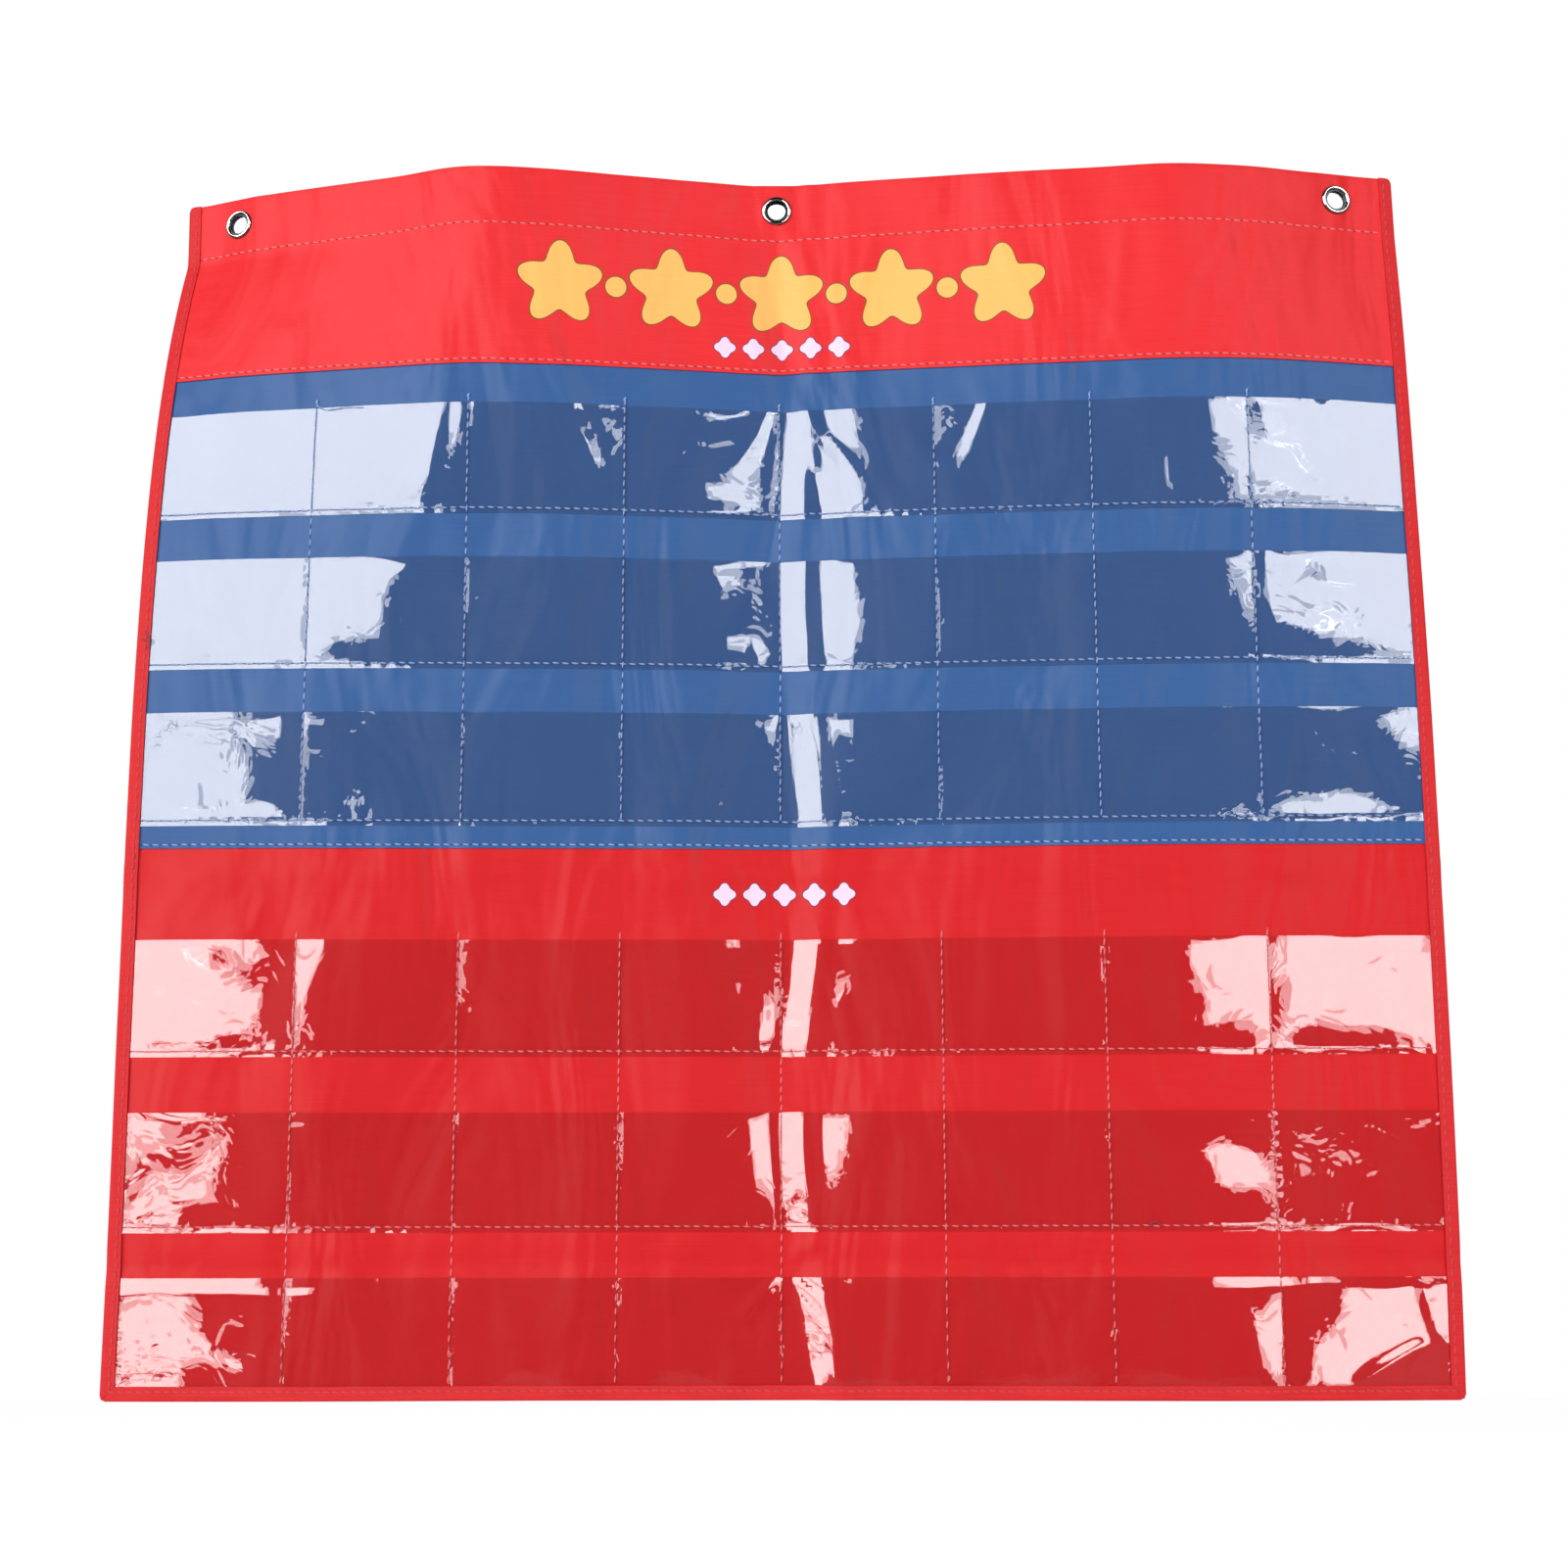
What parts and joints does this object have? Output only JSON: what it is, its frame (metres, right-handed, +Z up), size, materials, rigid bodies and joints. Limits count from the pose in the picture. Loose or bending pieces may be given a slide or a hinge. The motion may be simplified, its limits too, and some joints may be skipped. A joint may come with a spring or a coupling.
{
  "type": "pocket chart",
  "caption": "Hanging nylon pocket chart: rows of clear vinyl card pockets on a blue and a red panel under a plain hemmed header, bound edges, metal eyelets along the top.",
  "frame": {"origin": "centre of the centre eyelet, on the back surface of the header cloth", "axes": "+X to the right as seen from the front, +Y to the back (the front faces -Y), +Z up"},
  "size_m": [0.6995, 0.0568, 0.667],
  "materials": {
    "red_nylon": "woven, slight sheen",
    "blue_nylon": "woven, slight sheen",
    "red_tape": "woven tape",
    "clear_vinyl": "clear, glossy",
    "nickel": "polished"
  },
  "bodies": {
    "root": {"header_panel": "red_nylon", "blue_panel": "blue_nylon", "red_panel": "red_nylon", "pocket_strip_1": "clear_vinyl", "pocket_strip_2": "clear_vinyl", "pocket_strip_3": "clear_vinyl", "pocket_strip_4": "clear_vinyl", "pocket_strip_5": "clear_vinyl", "pocket_strip_6": "clear_vinyl", "left_binding": "red_tape", "right_binding": "red_tape", "bottom_binding": "red_tape", "left_eyelet": "nickel", "center_eyelet": "nickel", "right_eyelet": "nickel", "left_washer": "nickel", "center_washer": "nickel", "right_washer": "nickel"}
  },
  "joints": []
}
